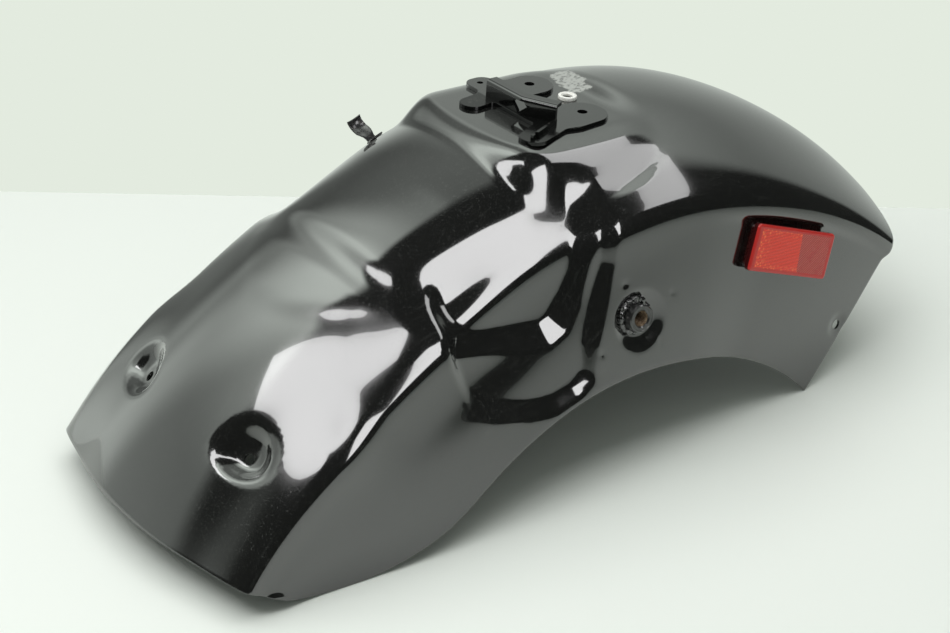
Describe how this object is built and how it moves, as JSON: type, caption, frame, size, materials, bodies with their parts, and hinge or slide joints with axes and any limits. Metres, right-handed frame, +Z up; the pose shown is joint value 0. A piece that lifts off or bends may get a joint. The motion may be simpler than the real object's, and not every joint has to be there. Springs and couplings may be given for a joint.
{
  "type": "motorcycle rear fender",
  "caption": "Deep pressed-steel motorcycle rear fender with a flat seat pad and bracket, tapped side bosses, skirt recesses, cup mounts and red side reflectors.",
  "frame": {"origin": "middle of the bottom of the bounding box, on the ground that the two lower ends rest on", "axes": "+X to the rear of the motorcycle, +Y to its right side, +Z up"},
  "size_m": [0.5694, 0.2514, 0.2217],
  "materials": {
    "fender_paint": "gloss black paint with fine scratches and dust",
    "bracket_paint": "satin black paint",
    "collar": "plain white",
    "plate_paint": "satin black paint",
    "zinc": "zinc plated",
    "boss_steel": "gloss black paint over steel, bare at the mouth",
    "weld": "painted weld bead",
    "reflector_housing": "black",
    "reflector_red": "clear red with a prism grid",
    "clamp_coat": "black coat"
  },
  "bodies": {
    "root": {"fender_shell": "fender_paint", "seat_bracket": "bracket_paint", "ring_collar": "collar", "pad_plate": "plate_paint", "pad_nut_left": "zinc", "pad_nut_right": "zinc", "boss_left": "boss_steel", "boss_right": "boss_steel", "boss_bead_left": "weld", "boss_bead_right": "weld", "boss_plate_left": "plate_paint", "boss_plate_right": "plate_paint", "reflector_base_left": "reflector_housing", "reflector_base_right": "reflector_housing", "reflector_lens_left": "reflector_red", "reflector_lens_right": "reflector_red", "reflector_washer_left": "zinc", "reflector_washer_right": "zinc", "reflector_nut_left": "zinc", "reflector_nut_right": "zinc", "wire_clamp": "clamp_coat"}
  },
  "joints": []
}
